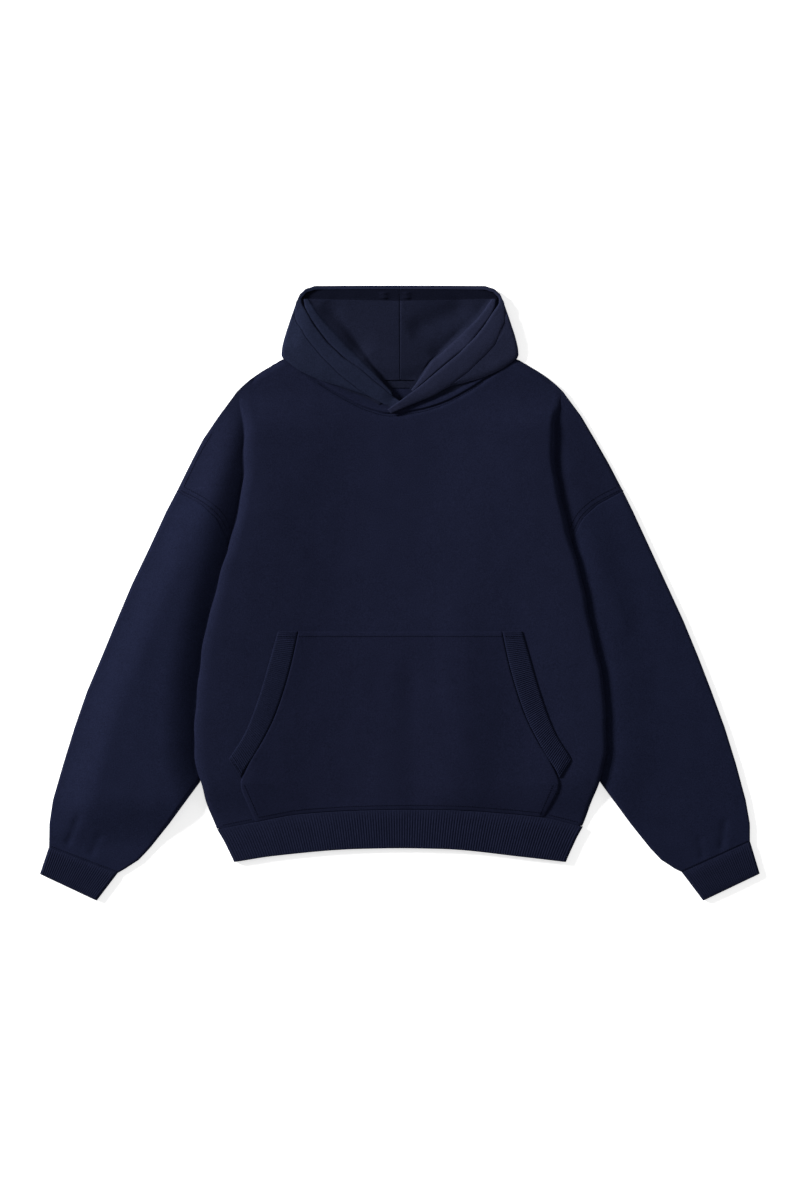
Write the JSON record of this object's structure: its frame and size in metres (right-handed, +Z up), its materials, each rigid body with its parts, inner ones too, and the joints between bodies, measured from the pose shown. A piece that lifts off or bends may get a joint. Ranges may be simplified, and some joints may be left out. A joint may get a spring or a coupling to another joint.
{
  "type": "pullover hoodie",
  "caption": "Oversized pullover hoodie lying flat, front up: folded hood, kangaroo pocket with ribbed trims, ribbed hem and cuffs.",
  "frame": {"origin": "centre of the bounding box at the surface that the garment lies on", "axes": "+Z up out of the garment's front, +Y from the hem to the hood, +X to the wearer's left"},
  "size_m": [1.0365, 0.885, 0.0168],
  "materials": {
    "fleece": "heavy cotton fleece, matt, with a faint nap",
    "lining": "jersey, matt",
    "rib": "ribbed knit, matt",
    "tape": "twill tape, matt"
  },
  "bodies": {
    "root": {"front_panel": "fleece", "back_panel": "fleece", "sleeve_left": "fleece", "sleeve_right": "fleece", "pocket_panel": "fleece", "hood_shell_left": "fleece", "hood_shell_right": "fleece", "hood_band_left": "fleece", "hood_band_right": "fleece", "hood_lining_left": "lining", "hood_lining_right": "lining", "neck_tape": "tape", "hem_band": "rib", "cuff_left": "rib", "cuff_right": "rib", "pocket_rib_left": "rib", "pocket_rib_right": "rib"}
  },
  "joints": []
}
